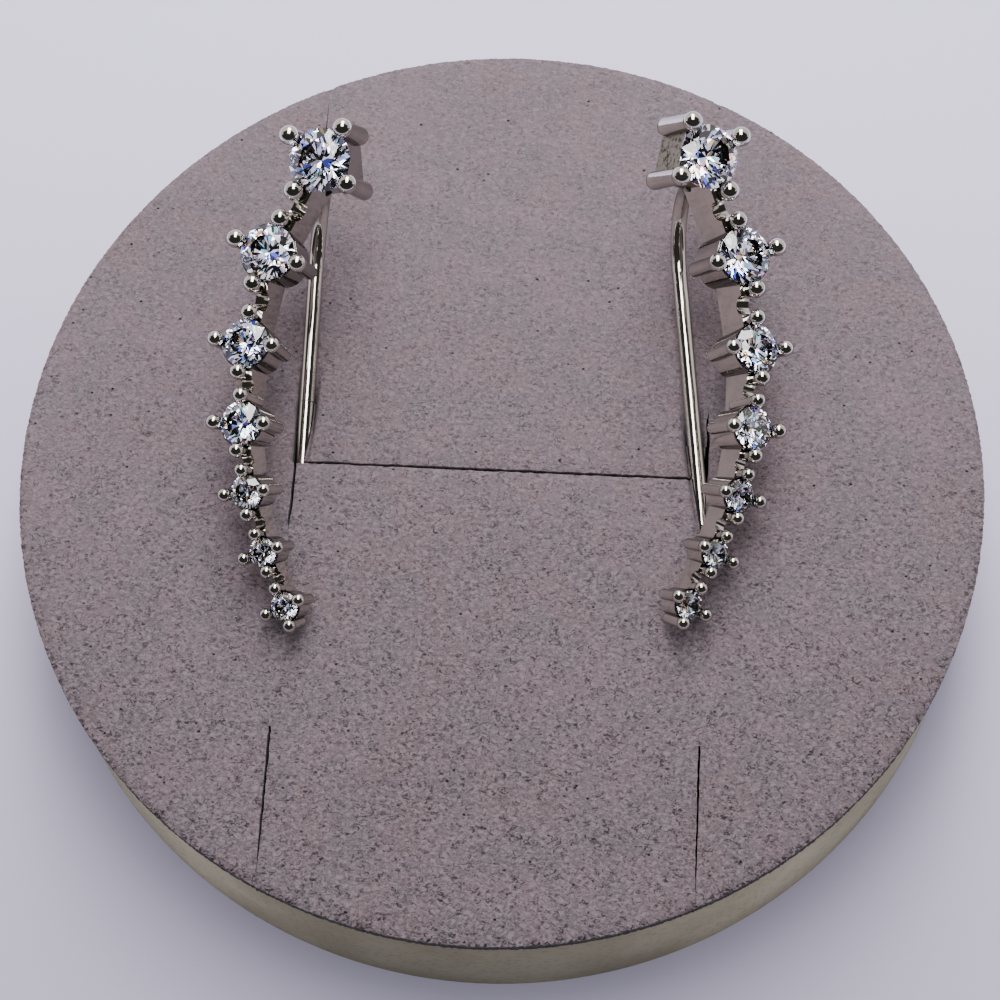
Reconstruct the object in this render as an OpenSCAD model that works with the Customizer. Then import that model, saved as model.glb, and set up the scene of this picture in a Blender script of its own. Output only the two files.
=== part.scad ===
// A pair of ear climbers on a round display pad.
// Units are millimetres, +Z is up, and the origin is the middle of the pad's underside.
// Each climber is a row of seven prong settings with a straight ear wire behind it.
// The pair is mirrored, and each climber leans outwards with its wire in a slit.

/* [Display pad] */
// Diameter of the pad
pad_d = 50; // [48:0.5:60]
// Thickness of the whole pad
pad_t = 9.1; // [8:0.1:12]
// Thickness of the velvet layer on the pad's top
velvet_t = 0.8; // [0.7:0.05:1]
// How far the foam's side lies inside the velvet's edge
foam_inset = 0.2; // [0.05:0.05:0.5]

/* [Slits] */
// Width of a slit
slit_w = 0.25; // [0.2:0.05:0.35]
// Depth of the slits below the velvet's face
slit_depth = 5; // [4:0.5:7]
// Distance of the side slits from the middle of the pad
slit_x = 10.7; // [10.6:0.05:10.8]
// Length of a side slit on each side of the cross slit
slit_reach = 3.8; // [3:0.1:5]
// Distance from the middle at which a rim slit begins
rim_slit_y = 14.4; // [14:0.1:18]

/* [Stones] */
// Width of the table as a share of the stone's diameter
table_ratio = 0.57; // [0.5:0.01:0.65]
// Angle of the crown's main facets
crown_angle = 34.5; // [30:0.5:37]
// Angle of the pavilion's main facets
pavilion_angle = 40.8; // [38:0.2:43]
// Thickness of the girdle as a share of the stone's diameter
girdle_ratio = 0.03; // [0.02:0.01:0.05]
// Room between a stone and the metal round it
stone_room = 0.05; // [0.03:0.01:0.06]

/* [Settings] */
// Height of the ball tips' middle above the girdle
ball_lift = 0.25; // [0.2:0.01:0.35]
// How far a prong's foot stands in, as a share of the distance at its tip
foot_ratio = 0.9; // [0.8:0.01:1]
// Depth of a web's top below the girdles that it joins
web_depth = 0.35; // [0.3:0.05:0.5]
// Width of a web as a share of the mean ball of its two settings
web_share = 0.8; // [0.7:0.05:0.9]
// Radius of the hollow across a web's top, as a share of the way between the two prongs
saddle_share = 0.3; // [0.2:0.02:0.34]

/* [Ear wire] */
// Diameter of the ear wire
wire_d = 0.8; // [0.7:0.05:0.9]
// Length of the straight post between the root and the bend
wire_post = 0.4; // [0.3:0.05:0.5]
// Radius of the bend below the post
wire_bend_r = 3.35; // [3.25:0.05:3.45]
// Length of the straight run, from the bend to the tip
wire_run = 13.8; // [12.5:0.1:14]
// Room between the wire and the pad round it
wire_room = 0.12; // [0.1:0.01:0.2]

/* [Hidden] */

$fn = 48;
cut = 1;            // how far a cutter runs past the face that it opens
foam_t = pad_t - velvet_t;

// The settings from the widest stone to the smallest. The bearing and the slope are those
// of the step to the next setting, across the row and out of it.
STONE = 0;          // stone diameter
BASKET = 1;         // depth of the basket below the girdle
BALL = 2;           // diameter of a ball tip
SPIN = 3;           // turn of the four prongs in the row's plane
LEAN = 4;           // lean of the setting across the row
STEP = 5;           // distance to the next setting
BEARING = 6;        // direction of that step across the row
SLOPE = 7;          // direction of that step out of the row's plane
SETTINGS = [
    [3.30, 3.05, 1.02, -37,  7, 5.35, -27.5,  0.5],
    [2.90, 2.85, 0.95, -19,  6, 4.85,  -6.5,  7.5],
    [2.50, 2.35, 0.84,  -4,  3, 4.15,   4.0,  5.5],
    [2.25, 2.00, 0.78,   1, -1, 3.50,   8.5, -3.5],
    [1.75, 1.75, 0.71,   9, -4, 3.15,  17.5, -9.5],
    [1.50, 1.55, 0.68,  20, -4, 2.95,  26.0, -5.5],
    [1.50, 1.40, 0.68,  25, -5, 0.00,   0.0,  0.0]];
last = len(SETTINGS) - 1;

// Where each climber's first girdle stands over the middle of the pad's face, how the
// climber is turned there, and how its wire is bent: lean, splay and rise of the run.
SEAT = 0;
TURN = 1;
WIRE = 2;
LEFT = [[-9.7, 12.7, 9.15], [20, -16.5, -7.5], [27.2, 0.2, 8.2]];
RIGHT = [[10.0, 13.8, 9.1], [22, 31, 11.5], [23.1, -5.7, 14.5]];

// Root of the ear wire under the first setting, and how far it reaches up into it
wire_root = [-0.86, -1, -2.8];
wire_seat = 0.5;

// The first setting is a square gallery between four posts, and the others are round cups
gallery_top = -0.45;
gallery_recess = 0.12;
post_flare = 0.97;  // width of a post's foot as a share of its ball
cup_drop = 0.15;    // how far the cup's lip lies below the girdle
cup_lip = 0.06;     // how far the lip stands outside the stone
cup_taper = 0.9;    // width of the cup's foot as a share of its lip
ball_share = 0.36;  // part of a ball's diameter that lies outside the stone's edge
prong_share = 0.82; // width of a prong as a share of its ball
culet_room = 1.6;   // room below a stone's point, as a multiple of the room round it
link_setback = 0.3; // how far a web stops short of a setting's axis
bend_swell = 0.02;  // extra thickness of the wire, and of its channel, at bend and tip
overlap = 0.1;      // how far the straight wire reaches into its bend
trench_inset = 0.04; // how much narrower a trench is than the round channel below it

FACETS = 8;         // main facets round a stone
facet_step = 360 / FACETS;
star_share = 0.5;   // how far the star facets reach from the table to the girdle
lower_share = 0.77; // how far the lower girdle facets reach to the culet

function turn_x(v, a) = [v[0], v[1] * cos(a) - v[2] * sin(a), v[1] * sin(a) + v[2] * cos(a)];
function turn_y(v, a) = [v[0] * cos(a) + v[2] * sin(a), v[1], v[2] * cos(a) - v[0] * sin(a)];
function turn_z(v, a) = [v[0] * cos(a) - v[1] * sin(a), v[0] * sin(a) + v[1] * cos(a), v[2]];
function turn(v, a) = turn_z(turn_y(turn_x(v, a[0]), a[1]), a[2]);

// Middle of a setting's girdle in the climber's own frame
function step_of(s) = s[STEP] * [sin(s[BEARING]) * cos(s[SLOPE]),
                                 -cos(s[BEARING]) * cos(s[SLOPE]), sin(s[SLOPE])];
function girdle(i) = i == 0 ? [0, 0, 0] : girdle(i - 1) + step_of(SETTINGS[i - 1]);

// A setting tips with the mean slope of the steps on its two sides
function slope_at(i) = i == 0 ? SETTINGS[0][SLOPE]
                     : i == last ? SETTINGS[last - 1][SLOPE]
                     : (SETTINGS[i - 1][SLOPE] + SETTINGS[i][SLOPE]) / 2;
function angles(i) = [-slope_at(i), SETTINGS[i][LEAN], SETTINGS[i][SPIN]];
function below(i, depth) = girdle(i) + turn([0, 0, -depth], angles(i));

// How far the middle of a ball stands from its setting's axis
function ball_reach(i) = SETTINGS[i][STONE] / 2 + ball_share * SETTINGS[i][BALL];

// The ends of the wire's straight run in the climber's frame, for one climber's bends
function wire_angles(bends) = [0, bends[0], bends[1]];
function bend_sweep(bends) = 90 + bends[2];
function bend_end(bends) = [0, wire_bend_r * (cos(bend_sweep(bends)) - 1),
                            -wire_post - wire_bend_r * sin(bend_sweep(bends))];
function run_start(bends) = wire_root + turn(bend_end(bends), wire_angles(bends));
function wire_tip(bends) = run_start(bends)
    + wire_run * turn([0, -cos(bends[2]), sin(bends[2])], wire_angles(bends));

// A point of a climber's frame in the pad's frame. The right climber is a mirror image.
function on_pad(v, place, side) = place[SEAT] + [0, 0, pad_t]
    + turn([side * v[0], v[1], v[2]], place[TURN]);

// Heights and radii of a stone of radius r, with the girdle's middle at zero
function half_girdle(r) = girdle_ratio * r;
function table_r(r) = table_ratio * r;
function table_z(r) = half_girdle(r) + (r - table_r(r)) * tan(crown_angle);
function crown_z(r, q) = half_girdle(r) + (r - q * cos(facet_step / 2)) * tan(crown_angle);
function pavilion_z(r, q) = -half_girdle(r)
    - (r - q * cos(facet_step / 2)) * tan(pavilion_angle);
function culet_z(r) = -half_girdle(r) - r * tan(pavilion_angle);
function star_r(r) = let (edge = table_r(r) * cos(facet_step / 2))
    edge + star_share * (r - edge);
function ring(count, r, z, start) = [for (k = [0 : count - 1])
    [r * cos(start + k * 360 / count), r * sin(start + k * 360 / count), z]];

// A round brilliant: table, star, main and girdle facets, and a pointed pavilion
module brilliant(d) {
    r = d / 2;
    inner = (1 - lower_share) * r;
    points = concat(
        ring(FACETS, table_r(r), table_z(r), 0),
        ring(FACETS, star_r(r), crown_z(r, star_r(r)), facet_step / 2),
        ring(2 * FACETS, r, half_girdle(r), 0),
        ring(2 * FACETS, r, -half_girdle(r), 0),
        ring(FACETS, inner, pavilion_z(r, inner), facet_step / 2),
        [[0, 0, culet_z(r)]]);
    table = 0;
    star = FACETS;
    upper = 2 * FACETS;
    lower = 4 * FACETS;
    inside = 6 * FACETS;
    culet = 7 * FACETS;
    N = FACETS;
    M = 2 * FACETS;
    faces = concat(
        [[for (k = [N - 1 : -1 : 0]) table + k]],
        [for (k = [0 : N - 1]) [table + k, table + (k + 1) % N, star + k]],
        [for (k = [0 : N - 1]) [table + k, star + k, upper + 2 * k, star + (k + N - 1) % N]],
        [for (k = [0 : N - 1]) [star + k, upper + 2 * k + 1, upper + 2 * k]],
        [for (k = [0 : N - 1]) [star + k, upper + (2 * k + 2) % M, upper + 2 * k + 1]],
        [for (k = [0 : M - 1]) [upper + k, upper + (k + 1) % M, lower + (k + 1) % M, lower + k]],
        [for (k = [0 : N - 1]) [inside + k, lower + 2 * k, lower + 2 * k + 1]],
        [for (k = [0 : N - 1]) [inside + k, lower + 2 * k + 1, lower + (2 * k + 2) % M]],
        [for (k = [0 : N - 1]) [culet, inside + (k + N - 1) % N, lower + 2 * k, inside + k]]);
    polyhedron(points, faces);
}

// The space that a stone and its room take out of the metal
module stone_seat(d) {
    r = d / 2;
    c = stone_room;
    rotate_extrude()
        polygon([[0, culet_z(r) - culet_room * c], [r + c, -half_girdle(r) - c],
                 [r + c, half_girdle(r) + c], [table_r(r) + c, table_z(r) + c],
                 [0, table_z(r) + c]]);
}

// A round bar between two points
module bar(a, b, d) {
    run = b - a;
    translate(a)
        rotate([0, acos(run[2] / norm(run)), atan2(run[1], run[0])])
            cylinder(h = norm(run), d = d);
}

module at_setting(i) {
    translate(girdle(i))
        rotate(angles(i))
            children();
}

// A setting's prongs, each from its foot on the basket to its ball tip
module prongs(i, foot_share, flare) {
    s = SETTINGS[i];
    reach = ball_reach(i);
    foot = foot_share * reach;
    foot_d = flare * s[BALL];
    foot_z = foot_d / 2 - s[BASKET];
    lean = atan2(reach - foot, ball_lift - foot_z);
    length = norm([reach - foot, ball_lift - foot_z]);
    for (a = [0 : 90 : 270])
        rotate([0, 0, a]) {
            translate([reach, 0, ball_lift])
                sphere(d = s[BALL]);
            translate([foot, 0, foot_z]) {
                sphere(d = foot_d);
                rotate([0, lean, 0])
                    cylinder(h = length, d1 = foot_d, d2 = prong_share * s[BALL]);
            }
        }
}

// The first setting: four full posts with flat, recessed walls between them
module gallery_setting(i) {
    s = SETTINGS[i];
    wall = 2 * (ball_reach(i) * cos(45) - gallery_recess);
    prongs(i, 1, post_flare);
    rotate([0, 0, 45])
        translate([-wall / 2, -wall / 2, -s[BASKET]])
            cube([wall, wall, s[BASKET] + gallery_top]);
}

// The other settings: a round cup with a rib below each ball tip
module cup_setting(i) {
    s = SETTINGS[i];
    lip = s[STONE] / 2 + cup_lip;
    translate([0, 0, -s[BASKET]])
        cylinder(h = s[BASKET] - cup_drop, r1 = cup_taper * lip, r2 = lip);
    prongs(i, foot_ratio, prong_share);
}

// Where a web's top meets the prong of a setting, and the way up from its basket
function web_end(i, way) = girdle(i) + turn([0, way * ball_reach(i), -web_depth], angles(i));
function rise_at(i) = turn([0, 0, 1], angles(i));

// The web between the facing prongs of two settings, with a hollow across its top
module link(i) {
    a = below(i, SETTINGS[i][BASKET]);
    b = below(i + 1, SETTINGS[i + 1][BASKET]);
    run = b - a;
    length = norm(run);
    heading = atan2(run[1], run[0]);
    level = [-sin(heading), cos(heading), 0];
    up = rise_at(i) + rise_at(i + 1);
    tip = atan2(-up * level, up * cross(run / length, level));
    width = web_share * (SETTINGS[i][BALL] + SETTINGS[i + 1][BALL]) / 2;
    top_a = web_end(i, -1);
    top_b = web_end(i + 1, 1);
    across = cross(up, run) / norm(cross(up, run));
    middle = (top_a + top_b) / 2;
    difference() {
        translate(a)
            rotate([0, -asin(run[2] / length), heading])
                rotate([90 + tip, 0, 0])
                    translate([0, 0, -width / 2])
                        linear_extrude(width)
                            polygon([[link_setback, 0], [length - link_setback, 0],
                                     [length - link_setback, SETTINGS[i + 1][BASKET] - web_depth],
                                     [link_setback, SETTINGS[i][BASKET] - web_depth]]);
        bar(middle - width * across, middle + width * across,
            2 * saddle_share * norm(top_b - top_a));
    }
}

// The ear wire: a short post, a bend, a straight run and a round tip
module ear_wire(bends) {
    translate(wire_root)
        rotate(wire_angles(bends)) {
            translate([0, 0, -wire_post - overlap])
                cylinder(h = wire_post + wire_seat + overlap, d = wire_d);
            translate([0, -wire_bend_r, -wire_post])
                rotate([-90, 0, 0])
                    rotate([0, -90, 0])
                        rotate_extrude(angle = bend_sweep(bends))
                            translate([wire_bend_r, 0])
                                circle(d = wire_d + bend_swell);
            translate(bend_end(bends))
                rotate([90 - bends[2], 0, 0]) {
                    translate([0, 0, -overlap])
                        cylinder(h = wire_run + overlap, d = wire_d);
                    translate([0, 0, wire_run])
                        sphere(d = wire_d + bend_swell);
                }
        }
}

// All the metal of one climber in its own frame
module climber_metal(bends) {
    difference() {
        union() {
            at_setting(0)
                gallery_setting(0);
            for (i = [1 : last])
                at_setting(i)
                    cup_setting(i);
            for (i = [0 : last - 1])
                link(i);
            ear_wire(bends);
        }
        for (i = [0 : last])
            at_setting(i)
                stone_seat(SETTINGS[i][STONE]);
    }
}

module on_left() {
    translate(LEFT[SEAT] + [0, 0, pad_t])
        rotate(LEFT[TURN])
            children();
}

module on_right() {
    translate(RIGHT[SEAT] + [0, 0, pad_t])
        rotate(RIGHT[TURN])
            mirror([1, 0, 0])
                children();
}

module climber_left() {
    color([0.78, 0.78, 0.79])
        on_left()
            climber_metal(LEFT[WIRE]);
}

module climber_right() {
    color([0.78, 0.78, 0.79])
        on_right()
            climber_metal(RIGHT[WIRE]);
}

module stone_left(number) {
    color([0.85, 0.9, 0.97])
        on_left()
            at_setting(number - 1)
                brilliant(SETTINGS[number - 1][STONE]);
}

module stone_right(number) {
    color([0.85, 0.9, 0.97])
        on_right()
            at_setting(number - 1)
                brilliant(SETTINGS[number - 1][STONE]);
}

// The slits seen from above: one across the pad, and on each side three pieces of one line
module slit_lines() {
    square([2 * slit_x, slit_w], center = true);
    for (x = [-slit_x, slit_x]) {
        translate([x, 0])
            square([slit_w, 2 * slit_reach], center = true);
        for (y = [rim_slit_y, -pad_d / 2])
            translate([x - slit_w / 2, y])
                square([slit_w, pad_d / 2 - rim_slit_y]);
    }
}

module slits() {
    translate([0, 0, pad_t - slit_depth])
        linear_extrude(slit_depth + cut)
            slit_lines();
}

// The trench that a wire opens in the pad's face, from one point down to another
module trench(a, b) {
    run = b - a;
    length = norm([run[0], run[1]]);
    width = wire_d + 2 * wire_room - trench_inset;
    translate([a[0], a[1], 0])
        rotate([90, 0, atan2(run[1], run[0])])
            translate([0, 0, -width / 2])
                linear_extrude(width)
                    polygon([[0, a[2]], [length, b[2]],
                             [length, a[2] + cut], [0, a[2] + cut]]);
}

// The left wire slips under the velvet at the cross slit, the right one lies open
module wire_channels() {
    w = wire_d + 2 * wire_room;
    left_a = on_pad(run_start(LEFT[WIRE]), LEFT, 1);
    left_b = on_pad(wire_tip(LEFT[WIRE]), LEFT, 1);
    slit_point = left_a + (left_b - left_a) * left_a[1] / (left_a[1] - left_b[1]);
    right_a = on_pad(run_start(RIGHT[WIRE]), RIGHT, -1);
    right_b = on_pad(wire_tip(RIGHT[WIRE]), RIGHT, -1);
    bar(left_a, left_b, w);
    bar(right_a, right_b, w);
    for (tip = [left_b, right_b])
        translate(tip)
            sphere(d = w + bend_swell);
    trench(left_a, slit_point);
    trench(right_a, right_b);
}

module pad_foam() {
    color([0.57, 0.55, 0.48])
        difference() {
            cylinder(h = foam_t, d = pad_d - 2 * foam_inset);
            slits();
            wire_channels();
        }
}

module pad_velvet() {
    color([0.56, 0.51, 0.53])
        difference() {
            translate([0, 0, foam_t])
                cylinder(h = velvet_t, d = pad_d);
            slits();
            wire_channels();
        }
}

pad_foam();
pad_velvet();
climber_left();
climber_right();
stone_left(1);  // stone_left_1
stone_left(2);  // stone_left_2
stone_left(3);  // stone_left_3
stone_left(4);  // stone_left_4
stone_left(5);  // stone_left_5
stone_left(6);  // stone_left_6
stone_left(7);  // stone_left_7
stone_right(1);  // stone_right_1
stone_right(2);  // stone_right_2
stone_right(3);  // stone_right_3
stone_right(4);  // stone_right_4
stone_right(5);  // stone_right_5
stone_right(6);  // stone_right_6
stone_right(7);  // stone_right_7
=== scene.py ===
import math
import random

import bpy
from mathutils import Euler, Matrix, Vector


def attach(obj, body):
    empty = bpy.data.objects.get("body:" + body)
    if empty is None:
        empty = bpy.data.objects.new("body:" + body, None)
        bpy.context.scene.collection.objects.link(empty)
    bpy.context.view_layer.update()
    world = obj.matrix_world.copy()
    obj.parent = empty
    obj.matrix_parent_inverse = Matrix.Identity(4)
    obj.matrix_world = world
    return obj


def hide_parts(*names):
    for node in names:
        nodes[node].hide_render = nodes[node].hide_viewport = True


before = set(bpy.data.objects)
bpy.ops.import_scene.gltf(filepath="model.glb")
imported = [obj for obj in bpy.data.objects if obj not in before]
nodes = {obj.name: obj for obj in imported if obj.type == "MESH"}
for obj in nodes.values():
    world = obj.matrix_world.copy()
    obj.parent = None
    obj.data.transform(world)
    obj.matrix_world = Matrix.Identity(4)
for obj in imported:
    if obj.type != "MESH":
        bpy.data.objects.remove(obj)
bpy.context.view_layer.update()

MM = 0.001

# The pad: a foam body with a flocked cover laid on it
PAD_RADIUS = 25 * MM
PAD_TOP = 9.1 * MM
VELVET = 0.8 * MM             # the cover's thickness
FOAM_TOP = PAD_TOP - VELVET
FOAM_RADIUS = PAD_RADIUS - 0.2 * MM
FOAM_ROUNDING = 0.15 * MM     # of the foam's edges
FRAY = 0.05 * MM              # how uneven the cover's cut edge is
COVER_GRID = 1.25 * MM        # spacing of the cuts all over the cover, before it is subdivided
GRID_CUTS = 19                # to each side of the pad's middle

# The slits: one across the pad, a side slit at each of its ends, and four at the rim
SLIT_X = 10.7 * MM            # the cross slit's ends, and the lines of the other slits
SLIT_DEPTH = 5 * MM
SLIT_HALF = 0.125 * MM        # half the width, in the foam, away from the rim
COVER_SLIT_HALF = 0.09 * MM   # the cover's edges close up over the foam's slits
SLIT_REACH = 3.8 * MM         # how far the side slits go to the front and to the rear
RIM_SLIT = 14.4 * MM          # the inner ends of the slits at the rim
RIM_SLIT_SHUT = 21.9 * MM     # from here to the rim the cover's edges touch
RIM_SLIT_HALF = {("left", "front"): 0.095 * MM, ("right", "front"): 0.076 * MM,
                 ("left", "rear"): 0.042 * MM, ("right", "rear"): 0.022 * MM}
FOAM_SLIT_END = 21.8 * MM     # inside the foam's outer wall
ON_EDGE = 1.02                # a point on a slit's edge is found with a little room

# The trenches that the ear wires press into the cover
WIRE_RADIUS = 0.4 * MM
CHANNEL_RADIUS = 0.52 * MM    # the room for a wire in the foam
TRENCH_HALF = 0.43 * MM
LIP_LINES = (TRENCH_HALF, 0.56 * MM, 0.68 * MM)   # cuts along a trench, so that its lips bend
LIP_REACH = 1.3 * MM          # how far from the wire its trench's lips draw in
DIP_REAR = 5.5 * MM           # behind this the cover lies flat under the wires
DIP_HALF = 0.42 * MM          # half the width of the dip's floor
DIP_WALL = 0.17 * MM          # over which width the dip's sides rise
STEEP_DIP_WALL = 0.07 * MM    # the same on the left wire's outer side
DIP_ROOM = 0.05 * MM          # between the dip's floor and the wire
DEEPEST_DIP = 0.47 * MM
COVERED_FROM = -3.8 * MM      # from here to its trench's rear end a wire holds the cover up

# How far the cover's face sinks at its edges, and over which width
SLIT_DROP, SLIT_DROP_WIDTH = 0.10 * MM, 0.16 * MM
RIM_DROP, RIM_DROP_WIDTH = 0.14 * MM, 0.3 * MM

BLACK = (0.0, 0.0, 0.0)
VELVET_SHADE = (0.012, 0.010, 0.011)


class Wire:
    """The straight run of an ear wire, from its bend down to its tip in the pad."""

    def __init__(self, bend, tip, trench_front, trench_rear):
        self.bend = Vector(bend) * MM
        self.tip = Vector(tip) * MM
        self.run = self.tip - self.bend
        self.across = Vector((self.run.y, -self.run.x, 0)).normalized()
        self.trench_front = trench_front * MM
        self.trench_rear = trench_rear * MM

    def side_of(self, place):
        """Distance of a place from the wire's line, seen from above."""
        aside = (place.x - self.bend.x) * self.across.x
        return aside + (place.y - self.bend.y) * self.across.y

    def height(self, y):
        share = (y - self.bend.y) / (self.tip.y - self.bend.y)
        return self.bend.z + share * (self.tip.z - self.bend.z)


LEFT_WIRE = Wire((-10.359, 10.311, 10.442), (-10.359, -3.235, 7.81), 0, 3.3)
RIGHT_WIRE = Wire((8.908, 11.174, 10.308), (10.557, -2.412, 8.533), -2.9, 1.9)
WIRES = (LEFT_WIRE, RIGHT_WIRE)


# Small helpers for modelling

def deselect():
    bpy.ops.object.select_all(action="DESELECT")


def choose(piece):
    deselect()
    piece.select_set(True)
    bpy.context.view_layer.objects.active = piece


def edit(piece):
    choose(piece)
    bpy.ops.object.mode_set(mode="EDIT")
    bpy.ops.mesh.select_all(action="SELECT")


def leave_edit():
    bpy.ops.object.mode_set(mode="OBJECT")


def apply_modifiers(piece):
    choose(piece)
    for modifier in list(piece.modifiers):
        bpy.ops.object.modifier_apply(modifier=modifier.name)


def place_in_mesh(piece):
    """Leaves the object at the origin with its place in its mesh."""
    choose(piece)
    bpy.ops.object.transform_apply(location=True, rotation=True, scale=True)


def smooth(piece, degrees):
    """Shades the piece smooth, apart from its edges sharper than the angle."""
    choose(piece)
    bpy.ops.object.shade_smooth_by_angle(angle=math.radians(degrees))


def pick_faces(piece, test):
    """In edit mode: selects only the faces whose centre passes the test."""
    leave_edit()
    mesh = piece.data
    for part in (mesh.vertices, mesh.edges, mesh.polygons):
        part.foreach_set("select", [False] * len(part))
    for face in mesh.polygons:
        face.select = test(face.center)
    bpy.ops.object.mode_set(mode="EDIT")
    bpy.ops.mesh.select_mode(type="FACE")


def cut(place, normal):
    """In edit mode: cuts the faces along a plane. The slits need cuts that lie close together."""
    bpy.ops.mesh.select_all(action="SELECT")
    bpy.ops.mesh.bisect(plane_co=place, plane_no=normal, threshold=0.001 * MM)


# Materials

class Nodes:
    """A node tree, with short names for what is used most."""

    def __init__(self, tree):
        self.tree = tree

    def add(self, kind, **settings):
        made = self.tree.nodes.new(kind)
        for key, value in settings.items():
            setattr(made, key, value)
        return made

    def join(self, source, target):
        self.tree.links.new(source, target)

    def feed(self, value, socket):
        """Gives a socket a number, a colour or the output of another node."""
        if isinstance(value, (int, float)):
            socket.default_value = value
        elif isinstance(value, tuple):
            socket.default_value = (*value, 1.0)
        else:
            self.join(value, socket)

    def axes(self, vector):
        split = self.add("ShaderNodeSeparateXYZ")
        self.join(vector, split.inputs[0])
        return split.outputs["X"], split.outputs["Y"], split.outputs["Z"]

    def cells(self, scale, vector, **settings):
        """The outputs of a random pattern of cells."""
        made = self.add("ShaderNodeTexVoronoi", **settings)
        made.inputs["Scale"].default_value = scale
        self.join(vector, made.inputs["Vector"])
        return made.outputs

    def draws(self, cells):
        """Two random numbers for each cell of such a pattern."""
        split = self.add("ShaderNodeSeparateColor")
        self.join(cells["Color"], split.inputs[0])
        return split.outputs["Red"], split.outputs["Green"]

    def ramp(self, value, low, high, to_low=0.0, to_high=1.0):
        made = self.add("ShaderNodeMapRange", interpolation_type="SMOOTHSTEP")
        self.join(value, made.inputs["Value"])
        made.inputs["From Min"].default_value = low
        made.inputs["From Max"].default_value = high
        made.inputs["To Min"].default_value = to_low
        made.inputs["To Max"].default_value = to_high
        return made.outputs["Result"]

    def math(self, operation, *values):
        made = self.add("ShaderNodeMath", operation=operation)
        for slot, value in enumerate(values):
            self.feed(value, made.inputs[slot])
        return made.outputs["Value"]

    def mix(self, share, first, second, kind="RGBA"):
        """Mixes two colours, or two numbers where the kind is FLOAT."""
        made = self.add("ShaderNodeMix", data_type=kind)
        slots, result = ((0, 6, 7), 2) if kind == "RGBA" else ((0, 2, 3), 0)
        for slot, value in zip(slots, (share, first, second)):
            self.feed(value, made.inputs[slot])
        return made.outputs[result]


class Finish(Nodes):
    """A node-based material with one Principled shader."""

    def __init__(self, name, **sockets):
        self.material = bpy.data.materials.new(name)
        self.material.use_nodes = True
        super().__init__(self.material.node_tree)
        self.shader = self.tree.nodes["Principled BSDF"]
        for socket, value in sockets.items():
            self.shader.inputs[socket.replace("_", " ")].default_value = value
        self.place = self.add("ShaderNodeTexCoord").outputs["Object"]

    def turned(self, rotation, scale):
        """The place on the object, turned and stretched."""
        made = self.add("ShaderNodeMapping")
        made.inputs["Rotation"].default_value = rotation
        made.inputs["Scale"].default_value = scale
        self.join(self.place, made.inputs["Vector"])
        return made.outputs["Vector"]

    def noise(self, scale, detail=3.0, rough=0.5, stretch=None, distortion=0.0):
        made = self.add("ShaderNodeTexNoise")
        made.inputs["Scale"].default_value = scale
        made.inputs["Detail"].default_value = detail
        made.inputs["Roughness"].default_value = rough
        made.inputs["Distortion"].default_value = distortion
        self.join(self.turned(*stretch) if stretch else self.place, made.inputs["Vector"])
        return made.outputs["Fac"]

    def dashes(self, scale, turn, length, size, share):
        """Short separate strokes, one in some of the cells of a random pattern."""
        place = self.turned((0, 0, turn), (1 / length, 1, 1))
        cells = self.cells(scale, place, voronoi_dimensions="2D")
        pick = self.draws(cells)[0]
        shown = self.math("MULTIPLY", self.ramp(pick, 1 - share, 1.0, 0.3, 1.0),
                          self.math("GREATER_THAN", pick, 1 - share))
        return self.math("MULTIPLY", shown, self.ramp(cells["Distance"], size * 0.5, size, 1.0, 0.0))

    def away_squared(self):
        """The square of the distance from the pad's middle, seen from above."""
        x, y, _ = self.axes(self.place)
        return self.math("ADD", self.math("MULTIPLY", x, x), self.math("MULTIPLY", y, y))

    def near_slits(self, half, beside_wire, inside):
        """1 within half a width of the slits' lines and near the wires, seen from above."""
        x, y, _ = self.axes(self.place)
        wide, long = self.math("ABSOLUTE", x), self.math("ABSOLUTE", y)
        across = self.math("MULTIPLY", self.math("LESS_THAN", long, half),
                           self.math("LESS_THAN", wide, SLIT_X + half))
        beside = self.math("ABSOLUTE", self.math("SUBTRACT", wide, SLIT_X))
        found = self.math("MAXIMUM", across, self.math("LESS_THAN", beside, half))
        for wire in WIRES:
            line = wire.across
            side = self.math("ADD", self.math("MULTIPLY", x, line.x), self.math("MULTIPLY", y, line.y))
            side = self.math("SUBTRACT", side, wire.bend.x * line.x + wire.bend.y * line.y)
            near = self.math("LESS_THAN", self.math("ABSOLUTE", side), beside_wire)
            near = self.math("MULTIPLY", near, self.math("LESS_THAN", long, DIP_REAR))
            found = self.math("MAXIMUM", found, near)
        return self.math("MULTIPLY", found, self.math("LESS_THAN", self.away_squared(), inside ** 2))

    def depth_fade(self, reach, darkest):
        """A share that grows from 0 at the back, at +reach, to darkest at the front. It carries the
        painted falloff of light towards the front.
        """
        return self.ramp(self.axes(self.place)[1], -reach, reach, darkest, 0.0)

    def colour(self, value):
        self.join(value, self.shader.inputs["Base Color"])

    def bump(self, height, strength, distance):
        made = self.add("ShaderNodeBump")
        made.inputs["Strength"].default_value = strength
        made.inputs["Distance"].default_value = distance
        self.join(height, made.inputs["Height"])
        self.join(made.outputs["Normal"], self.shader.inputs["Normal"])


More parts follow.
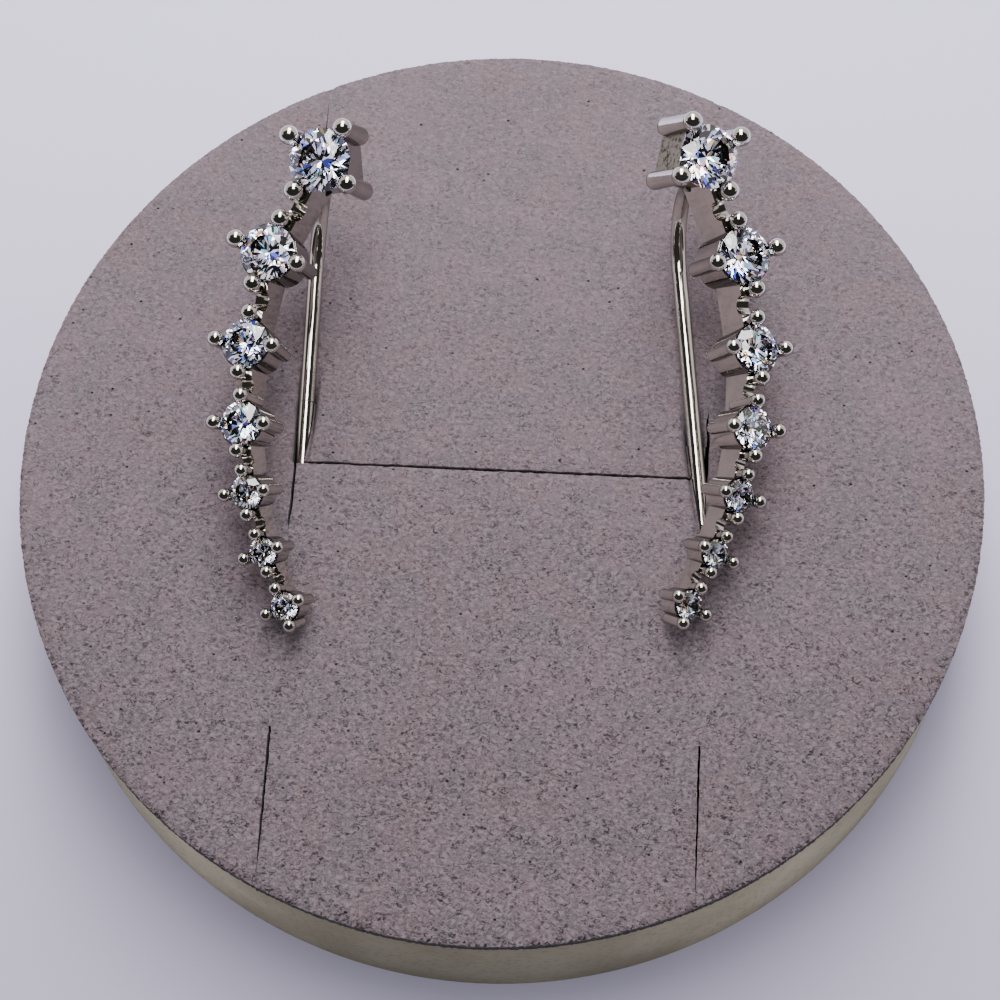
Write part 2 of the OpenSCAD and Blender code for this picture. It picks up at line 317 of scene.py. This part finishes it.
def velvet_finish():
    f = Finish("velvet pile", Roughness=1.0, Sheen_Weight=0.1, Sheen_Roughness=0.5)
    f.shader.inputs["Specular IOR Level"].default_value = 0.1
    drift = f.noise(110, 3.0)
    patches = f.noise(480, 4.0, 0.65)
    clumps = f.noise(1300, 2.0, 0.6)
    tufts = f.noise(5600, 2.0, 0.7, ((0, 0, 0.3), (0.75, 1.0, 1.0)), 0.9)
    streaks = f.noise(3600, 3.0, 0.65, ((0, 0, -0.4), (0.75, 1.0, 1.0)), 1.4)
    grain = f.noise(11000, 2.0, 0.6)
    front = f.depth_fade(24 * MM, 1.0)

    # the cloth's own colour, with its pale tufts
    base = f.mix(f.ramp(drift, 0.35, 0.65), (0.172, 0.128, 0.139), (0.188, 0.142, 0.160))
    base = f.mix(f.ramp(patches, 0.38, 0.62, 0.0, 0.75), base, (0.150, 0.126, 0.144))
    lift = f.math("ADD", 0.38, f.math("MULTIPLY", front, 0.3))
    base = f.mix(f.math("MULTIPLY", f.ramp(tufts, 0.50, 0.64), lift), base, (0.30, 0.237, 0.265))

    # painted shade in the gaps between the tufts, stronger to the front
    gap_shade = f.math("MAXIMUM", f.ramp(tufts, 0.34, 0.48, 0.8, 0.0), f.ramp(streaks, 0.31, 0.43, 1.1, 0.0))
    gap_shade = f.math("MAXIMUM", gap_shade, f.dashes(4600, 0.35, 1.7, 0.4, 0.06))
    depth = f.math("ADD", 0.42, f.math("MULTIPLY", front, 0.56))
    gap_shade = f.math("MULTIPLY", gap_shade, f.math("MULTIPLY", depth, f.ramp(clumps, 0.35, 0.62, 0.5, 1.25)))
    base = f.mix(f.math("MINIMUM", gap_shade, 1.0), base, (0.030, 0.025, 0.029))
    base = f.mix(f.ramp(grain, 0.46, 0.70, 0.0, 0.30), base, (0.27, 0.212, 0.236))
    base = f.mix(f.dashes(1500, 0.4, 1.25, 0.12, 0.08), base, (0.006, 0.005, 0.007))
    # painted shade: the cover darker towards the front, where the light falls off
    base = f.mix(f.depth_fade(24 * MM, 0.24), base, BLACK)

    # painted shade on the sunken sides of the slits and trenches, and on the ragged front edge
    height = f.axes(f.place)[2]
    sunk = f.ramp(height, PAD_TOP - 0.48 * MM, PAD_TOP - 0.13 * MM, 0.94, 0.0)
    base = f.mix(sunk, base, VELVET_SHADE)
    # painted shade along the ragged edge of the cover, stronger to the front
    edge = f.ramp(f.away_squared(), (PAD_RADIUS - 0.38 * MM) ** 2, (PAD_RADIUS - 0.08 * MM) ** 2)
    ragged = f.math("MULTIPLY", f.math("MULTIPLY", edge, front), f.ramp(streaks, 0.38, 0.55, 0.92, 0.0))
    f.colour(f.mix(ragged, base, VELVET_SHADE))
    f.bump(f.math("ADD", tufts, f.math("MULTIPLY", grain, 0.5)), 0.8, 0.08 * MM)
    return f.material


def foam_finish():
    f = Finish("foam of the pad", Roughness=0.95)
    pores = f.cells(2600, f.place)["Distance"]
    base = f.mix(f.ramp(f.noise(160, 4.0), 0.3, 0.7), (0.32, 0.29, 0.195), (0.43, 0.39, 0.28))
    base = f.mix(f.ramp(pores, 0.1, 0.5, 0.35, 0.0), base, (0.16, 0.14, 0.10))
    y = f.axes(f.place)[1]
    # painted shade: the foam's side darker at the front, where little light reaches
    base = f.mix(f.ramp(y, -24.8 * MM, -20.5 * MM, 0.5, 0.0), base, (0.05, 0.046, 0.028))
    # no light gets to the foam inside the slits and under the wires
    shade = f.near_slits(0.3 * MM, beside_wire=0.7 * MM, inside=24.5 * MM)
    f.colour(f.mix(shade, base, (0.012, 0.010, 0.009)))
    f.bump(pores, 0.5, 0.08 * MM)
    return f.material


def silver_finish():
    f = Finish("polished silver", Metallic=1.0)
    cloud = f.noise(500, 4.0, 0.6)
    ripple = f.noise(1400, 3.0, 0.5)
    scratch = f.noise(3000, 3.0, 0.6, ((0, 0, 0.15), (1.0, 0.12, 1.0)))
    base = f.mix(f.ramp(cloud, 0.3, 0.7), (0.68, 0.645, 0.585), (0.83, 0.79, 0.725))
    # painted dark reflection at the edges, where the surface turns away from view
    edge = f.add("ShaderNodeLayerWeight").outputs["Facing"]
    base = f.mix(f.ramp(edge, 0.46, 0.86, 0.0, 0.92), base, (0.05, 0.047, 0.045))
    # painted shade in the crevices and where parts meet
    crevice_shade = f.add("ShaderNodeAmbientOcclusion", samples=6)
    crevice_shade.inputs["Distance"].default_value = 0.3 * MM
    base = f.mix(f.ramp(crevice_shade.outputs["AO"], 0.30, 0.75, 0.9, 0.0), base, (0.03, 0.028, 0.026))
    cast = rough_wall(f)
    pits = f.noise(3600, 4.0, 0.7)
    base = f.mix(cast, base, (0.33, 0.31, 0.23))
    pitted = f.math("MULTIPLY", cast, f.ramp(pits, 0.36, 0.5, 1.0, 0.0))
    f.colour(f.mix(pitted, base, (0.03, 0.03, 0.02)))
    polish = f.ramp(cloud, 0.35, 0.75, 0.05, 0.14)
    f.join(f.math("MAXIMUM", polish, f.math("MULTIPLY", cast, 0.5)), f.shader.inputs["Roughness"])
    height = f.math("ADD", ripple, f.math("MULTIPLY", scratch, 0.25))
    height = f.math("ADD", height, f.math("MULTIPLY", f.math("MULTIPLY", cast, pits), 4.0))
    f.bump(height, 0.25, 0.03 * MM)
    return f.material


def rough_wall(f):
    """1 on the left wall of the right climber's first setting, which is left as cast."""
    def turn(x, y, z):
        return Euler((math.radians(x), math.radians(y), math.radians(z))).to_matrix()
    mirror = Matrix.Diagonal((-1, 1, 1))
    # where this setting stands and how it is turned, and the part of it that stays rough
    setting = Vector((10.0, 13.8, 18.2)) * MM
    pose = turn(22, 31, 11.5) @ mirror @ turn(-0.5, 7, -37) @ turn(0, 0, 45) @ mirror
    half, top, foot = 1.33 * MM, -0.5 * MM, -3.2 * MM
    place = f.add("ShaderNodeMapping", vector_type="TEXTURE")
    place.inputs["Location"].default_value = setting
    place.inputs["Rotation"].default_value = pose.to_euler()
    place.inputs["Scale"].default_value = (-1, 1, 1)
    f.join(f.place, place.inputs["Vector"])
    x, y, z = f.axes(place.outputs["Vector"])
    near = f.math("MULTIPLY", f.math("LESS_THAN", f.math("ABSOLUTE", x), half),
                  f.math("LESS_THAN", f.math("ABSOLUTE", y), half))
    deep = f.math("MULTIPLY", f.math("LESS_THAN", z, top), f.math("GREATER_THAN", z, foot))
    return f.math("MULTIPLY", near, deep)


def stone_finish(size, clear):
    """A cut stone tinted by clear; on the smaller stones the grey tint is painted shade. Some of its
    small patches are tinted in colour, as painted flashes of the stone's fire.
    """
    f = Finish("cut stone, " + size, Roughness=0.0, IOR=2.15, Transmission_Weight=1.0)
    pick = f.draws(f.cells(3100, f.place))[0]
    tint = clear
    # painted flashes of colour, standing in for the stone's fire
    for low, high, flash in ((0.84, 0.86, (0.42, 0.52, 1.0)), (0.90, 0.91, (1.0, 0.95, 0.8)),
                             (0.925, 0.93, (1.0, 0.50, 0.22)), (0.965, 0.97, (0.45, 0.95, 1.0)),
                             (0.985, 0.99, (1.0, 0.55, 0.85))):
        flash = tuple(channel * clear[2] for channel in flash)
        tint = f.mix(f.ramp(pick, low, high), tint, flash)
    f.colour(tint)
    return f.material


# The pad

def rim_slit_half(x, y):
    return RIM_SLIT_HALF["right" if x > 0 else "left", "rear" if y > 0 else "front"]


def in_slit(p):
    if abs(p.y) < COVER_SLIT_HALF and abs(p.x) < SLIT_X:
        return True
    beside = abs(abs(p.x) - SLIT_X)
    if beside < COVER_SLIT_HALF and abs(p.y) < SLIT_REACH:
        return True
    if abs(p.y) > RIM_SLIT and beside < rim_slit_half(p.x, p.y):
        return True
    return any(wire.trench_front < p.y < wire.trench_rear and abs(wire.side_of(p)) < TRENCH_HALF
               for wire in WIRES)


def velvet_cover(finish):
    """The flocked cover: a disc with its slits and wire trenches, given its thickness."""
    deselect()
    bpy.ops.mesh.primitive_circle_add(vertices=288, radius=PAD_RADIUS, fill_type="NGON",
                                      location=(0, 0, PAD_TOP))
    cover = bpy.context.active_object
    cover.name = "velvet_cover"
    place_in_mesh(cover)
    edit(cover)
    cut_lines()
    pick_faces(cover, in_slit)
    bpy.ops.mesh.delete(type="FACE")
    bpy.ops.mesh.select_all(action="SELECT")
    bpy.ops.mesh.subdivide(number_cuts=3)
    bpy.ops.mesh.normals_make_consistent(inside=False)
    leave_edit()
    wall = cover.modifiers.new("thickness", "SOLIDIFY")
    wall.thickness = VELVET
    wall.offset = -1.0
    apply_modifiers(cover)
    sink_lips(cover)
    close_lips(cover)
    narrow_slits(cover)
    fray_rim(cover)
    smooth(cover, 50)
    cover.data.materials.append(finish)
    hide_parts("pad_velvet")
    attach(cover, "root")
    return cover


def cut_lines():
    """In edit mode: cuts the disc along its slits and trenches and all over."""
    for x in (-SLIT_X, SLIT_X):
        for half in (COVER_SLIT_HALF, rim_slit_half(x, -1), rim_slit_half(x, 1)):
            cut((x - half, 0, 0), (1, 0, 0))
            cut((x + half, 0, 0), (1, 0, 0))
    for y in (RIM_SLIT, SLIT_REACH, COVER_SLIT_HALF):
        cut((0, y, 0), (0, 1, 0))
        cut((0, -y, 0), (0, 1, 0))
    for wire in WIRES:
        for side in LIP_LINES:
            cut(wire.bend - side * wire.across, wire.across)
            cut(wire.bend + side * wire.across, wire.across)
    for k in range(-GRID_CUTS, GRID_CUTS + 1):
        cut((k * COVER_GRID, 0, 0), (1, 0, 0))
        cut((0, k * COVER_GRID, 0), (0, 1, 0))
    for y in (RIGHT_WIRE.trench_front, RIGHT_WIRE.trench_rear, LEFT_WIRE.trench_rear):
        cut((0, y, 0), (0, 1, 0))


def slit_distance(p):
    """How far a place is from the nearest slit's middle line."""
    near = math.hypot(max(abs(p.x) - SLIT_X, 0), p.y)
    beside = abs(abs(p.x) - SLIT_X)
    near = min(near, math.hypot(beside, max(abs(p.y) - SLIT_REACH, 0)))
    return min(near, math.hypot(beside, max(RIM_SLIT - abs(p.y), 0)))


def fade(distance, width):
    """1 at no distance, and softly down to nothing some widths away."""
    return math.exp(-(distance / width) ** 2)


def sink_lips(cover):
    """The cover's face rounds down to the slits and the rim, and dips below the wires."""
    for v in cover.data.vertices:
        if v.co.z < PAD_TOP - 0.1 * MM:
            continue
        p = v.co
        drop = SLIT_DROP * fade(slit_distance(p) - COVER_SLIT_HALF, SLIT_DROP_WIDTH)
        drop += RIM_DROP * fade(PAD_RADIUS - math.hypot(p.x, p.y), RIM_DROP_WIDTH)
        for wire in WIRES:
            if wire.trench_front <= p.y <= DIP_REAR:
                aside = max(abs(wire.side_of(p)) - DIP_HALF, 0)
                depth = max(PAD_TOP - (wire.height(p.y) - WIRE_RADIUS) + DIP_ROOM, 0)
                steep = wire is LEFT_WIRE and p.x < wire.bend.x
                wall = STEEP_DIP_WALL if steep else DIP_WALL
                drop = max(drop, min(depth, DEEPEST_DIP) * fade(aside, wall))
        v.co.z -= drop


def lip_edge(wire, side, done):
    """How far from the wire's line a lip ends. Done grows from 0 at the rear to 1 in front."""
    if wire is RIGHT_WIRE:
        return (0.42 - 0.26 * done ** 1.5) * MM
    if side * wire.across.x > 0:
        return (0.42 - 0.32 * done ** 2) * MM
    return 0.45 * MM


def close_lips(cover):
    """The trench's lips draw in over the ends of the wires and stay clear of the metal."""
    clear = WIRE_RADIUS + 0.03 * MM
    for v in cover.data.vertices:
        p = v.co
        for wire in WIRES:
            front, rear = wire.trench_front, wire.trench_rear
            side = wire.side_of(p)
            if front - 0.01 * MM <= p.y <= rear and TRENCH_HALF * 0.98 < abs(side) < LIP_REACH:
                edge = lip_edge(wire, side, (rear - p.y) / (rear - front))
                share = (LIP_REACH - edge) / (LIP_REACH - TRENCH_HALF)
                moved = edge + (abs(side) - TRENCH_HALF) * share
                p += wire.across * (math.copysign(moved, side) - side)
                side = wire.side_of(p)
            if abs(side) < clear and COVERED_FROM < p.y < rear:
                over = wire.height(p.y) + math.sqrt(clear ** 2 - side ** 2)
                underside = p.z < PAD_TOP - VELVET + 0.1 * MM
                p.z = max(p.z, over if underside else over + 0.05 * MM)


def narrow_slits(cover):
    """The side slits wander and close to a point; the cross slit and the rim slits are ragged."""
    chance = random.Random(11)
    for v in cover.data.vertices:
        p = v.co
        beside, along = abs(p.x) - SLIT_X, abs(p.y)
        if beside < -COVER_SLIT_HALF * ON_EDGE and along <= COVER_SLIT_HALF * ON_EDGE:
            p.y *= 0.55 + 0.55 * chance.random()
        elif abs(beside) <= COVER_SLIT_HALF * ON_EDGE and COVER_SLIT_HALF < along < SLIT_REACH * 1.001:
            open_share = max(1 - (along / SLIT_REACH) ** 8, 0.12) * (0.75 + 0.25 * chance.random())
            wander = (0.022 * math.sin(p.y / (0.29 * MM)) + 0.03 * math.sin(p.y / (0.8 * MM))) * MM
            wander *= min(1.0, (SLIT_REACH - along) / (0.5 * MM))
            p.x = math.copysign(SLIT_X + beside * open_share + wander, p.x)
        elif abs(beside) <= rim_slit_half(p.x, p.y) * ON_EDGE and along > RIM_SLIT * 0.999:
            shut = ((along - RIM_SLIT) / (RIM_SLIT_SHUT - RIM_SLIT)) ** 6
            open_share = max((0.4 + 0.6 * chance.random()) * (1 - shut), 0.03)
            p.x = math.copysign(SLIT_X + beside * open_share, p.x)


def fray_rim(cover):
    """The cut edge of the cover is a little uneven."""
    chance = random.Random(7)
    for v in cover.data.vertices:
        away = math.hypot(v.co.x, v.co.y)
        if away > PAD_RADIUS - 0.02 * MM:
            share = 1 - chance.random() * FRAY / away
            v.co.x *= share
            v.co.y *= share


def foam_slits():
    """The middle and the size of each slit in the foam, seen from above."""
    slits = [((0, 0), (2 * SLIT_X, 2 * SLIT_HALF))]
    for x in (-SLIT_X, SLIT_X):
        slits.append(((x, 0), (2 * SLIT_HALF, 2 * SLIT_REACH)))
        for side in (-1, 1):
            middle = side * (RIM_SLIT + FOAM_SLIT_END) / 2
            slits.append(((x, middle), (2 * rim_slit_half(x, side), FOAM_SLIT_END - RIM_SLIT)))
    return slits


def foam_cutters():
    """Boxes for the slits and rods for the wires' channels."""
    cutters = []
    for (x, y), (width, length) in foam_slits():
        deselect()
        bpy.ops.mesh.primitive_cube_add(size=1, location=(x, y, PAD_TOP - SLIT_DEPTH / 2))
        cutter = bpy.context.active_object
        cutter.scale = (width, length, SLIT_DEPTH)
        place_in_mesh(cutter)
        cutters.append(cutter)
    for wire in WIRES:
        deselect()
        bpy.ops.mesh.primitive_cylinder_add(vertices=24, radius=CHANNEL_RADIUS,
                                            depth=wire.run.length + 1 * MM,
                                            location=(wire.bend + wire.tip) / 2)
        cutter = bpy.context.active_object
        cutter.rotation_mode = "QUATERNION"
        cutter.rotation_quaternion = wire.run.to_track_quat("Z", "Y")
        place_in_mesh(cutter)
        cutters.append(cutter)
    return cutters


def foam_body(finish):
    """The round foam body under the cover, with the slits cut into it."""
    deselect()
    bpy.ops.mesh.primitive_cylinder_add(vertices=192, radius=FOAM_RADIUS, depth=FOAM_TOP,
                                        end_fill_type="NGON", location=(0, 0, FOAM_TOP / 2))
    body = bpy.context.active_object
    body.name = "foam_body"
    place_in_mesh(body)
    cutters = foam_cutters()
    for number, cutter in enumerate(cutters):
        take = body.modifiers.new("slit %d" % number, "BOOLEAN")
        take.operation = "DIFFERENCE"
        take.solver = "EXACT"
        take.object = cutter
    apply_modifiers(body)
    for cutter in cutters:
        bpy.data.objects.remove(cutter)
    round_off = body.modifiers.new("soft edges", "BEVEL")
    round_off.width = FOAM_ROUNDING
    round_off.segments = 2
    round_off.limit_method = "ANGLE"
    round_off.angle_limit = math.radians(60)
    apply_modifiers(body)
    smooth(body, 40)
    body.data.materials.append(finish)
    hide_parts("pad_foam")
    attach(body, "root")
    return body


# The climbers

def dress_climbers():
    """Silver for the metal. The stones are tinted darker down each row, as they get smaller: painted
    shade.
    """
    silver = silver_finish()
    # the greyer tints of the smaller stones are painted shade
    large = stone_finish("large", (0.97, 0.93, 1.0))
    middle = stone_finish("middle", (0.83, 0.84, 0.93))
    small = stone_finish("small", (0.44, 0.44, 0.46))
    stones = {"left": (large, large, middle, middle, small, small, small),
              "right": (large, middle, middle, middle, small, small, small)}
    for name, node in nodes.items():
        kind, _, place = name.partition("_")
        if kind not in ("climber", "stone"):
            continue
        finish = silver
        if kind == "stone":
            side, number = place.split("_")
            finish = stones[side][int(number) - 1]
        node.data.materials.clear()
        node.data.materials.append(finish)


# The floor, the light and the camera

def floor():
    deselect()
    bpy.ops.mesh.primitive_plane_add(size=3, location=(0, 0, 0))
    plane = bpy.context.active_object
    plane.name = "floor"
    f = Finish("pale floor", Roughness=0.6)
    # painted shade: the floor darker towards the front, as the light falls off
    f.colour(f.mix(f.depth_fade(34 * MM, 0.36), (0.77, 0.715, 0.96), BLACK))
    plane.data.materials.append(f.material)


def studio_room():
    """The room's walls as the metal, the stones and the velvet each see them."""
    world = bpy.data.worlds.new("studio")
    bpy.context.scene.world = world
    world.use_nodes = True
    room = Nodes(world.node_tree)
    way = room.add("ShaderNodeTexCoord").outputs["Generated"]
    x, y, z = room.axes(way)

    # pale walls, with a dark band to each side of the ceiling light and a dark front,
    # as angles in radians from straight above
    walls = room.ramp(room.math("ABSOLUTE", room.math("ARCTAN2", x, z)), 1.08, 1.28)
    along = room.math("ARCTAN2", y, z)
    front = room.ramp(along, -0.42, -0.28)
    rear = room.ramp(along, 0.38, 0.62)
    bright = room.math("MULTIPLY", room.math("MAXIMUM", walls, rear), front)
    strength = room.math("ADD", room.math("MULTIPLY", bright, 0.76), 0.03)

    # what the stones gather is a mosaic of bright, grey and coloured patches
    light_draw, colour_draw = room.draws(room.cells(6.5, way))
    grey = room.math("MULTIPLY", room.math("GREATER_THAN", light_draw, 0.49), 0.42)
    white = room.math("MULTIPLY", room.math("GREATER_THAN", light_draw, 0.70), 1.25)
    sparkle = room.math("ADD", room.math("ADD", 0.015, grey), white)
    tint = (0.90, 0.91, 1.0)
    for low, flash in ((0.62, (0.62, 0.60, 1.0)), (0.72, (0.16, 0.22, 1.0)),
                       (0.79, (1.0, 0.97, 0.95)), (0.89, (1.0, 0.50, 0.15)),
                       (0.92, (0.35, 0.90, 1.0)), (0.945, (1.0, 0.75, 0.35)),
                       (0.97, (0.95, 0.45, 0.85))):
        tint = room.mix(room.math("GREATER_THAN", colour_draw, low), tint, flash)

    seen = room.add("ShaderNodeLightPath").outputs
    strength = room.mix(seen["Is Transmission Ray"], strength, sparkle, "FLOAT")
    strength = room.mix(seen["Is Diffuse Ray"], strength, 0.76, "FLOAT")
    strength = room.mix(seen["Is Camera Ray"], strength, 0.7, "FLOAT")
    colour = room.mix(seen["Is Glossy Ray"], (0.97, 0.98, 1.0), (1.0, 0.965, 0.92))
    colour = room.mix(seen["Is Transmission Ray"], colour, tint)
    back = room.tree.nodes["Background"]
    room.join(strength, back.inputs["Strength"])
    room.join(colour, back.inputs["Color"])


def ceiling_panel():
    """A long soft light over the pad, a little behind it."""
    tilt, away = math.radians(28), 0.2
    lamp = bpy.data.lights.new("ceiling panel", "AREA")
    lamp.shape = "RECTANGLE"
    lamp.size = 0.08
    lamp.size_y = 0.25
    lamp.energy = 0.62
    panel = bpy.data.objects.new("ceiling panel", lamp)
    bpy.context.scene.collection.objects.link(panel)
    direction = Vector((0, math.sin(tilt), math.cos(tilt)))
    panel.location = direction * away
    panel.rotation_mode = "QUATERNION"
    panel.rotation_quaternion = direction.to_track_quat("Z", "Y")


def photo_camera():
    """The camera at the photo's viewing angle, turned by a small roll."""
    eye = Vector((5.70, -54.30, 135.18)) * MM
    level = Vector((0.9945, 0.1044, 0)).normalized()
    roll = -0.05287
    data = bpy.data.cameras.new("camera")
    camera = bpy.data.objects.new("camera", data)
    bpy.context.scene.collection.objects.link(camera)
    forward = (Vector((0, 0, PAD_TOP)) - eye).normalized()
    upright = level.cross(forward)
    right = math.cos(roll) * level + math.sin(roll) * upright
    up = math.cos(roll) * upright - math.sin(roll) * level
    turned = Matrix((right, up, -forward)).transposed().to_4x4()
    turned.translation = eye
    camera.matrix_world = turned
    data.sensor_width = 36
    data.lens = 95.41
    data.shift_x = -0.0002
    data.shift_y = -0.0304
    data.clip_start = 0.005
    data.clip_end = 20
    bpy.context.scene.camera = camera


photo_camera()
floor()
studio_room()
ceiling_panel()
foam_body(foam_finish())
velvet_cover(velvet_finish())
dress_climbers()
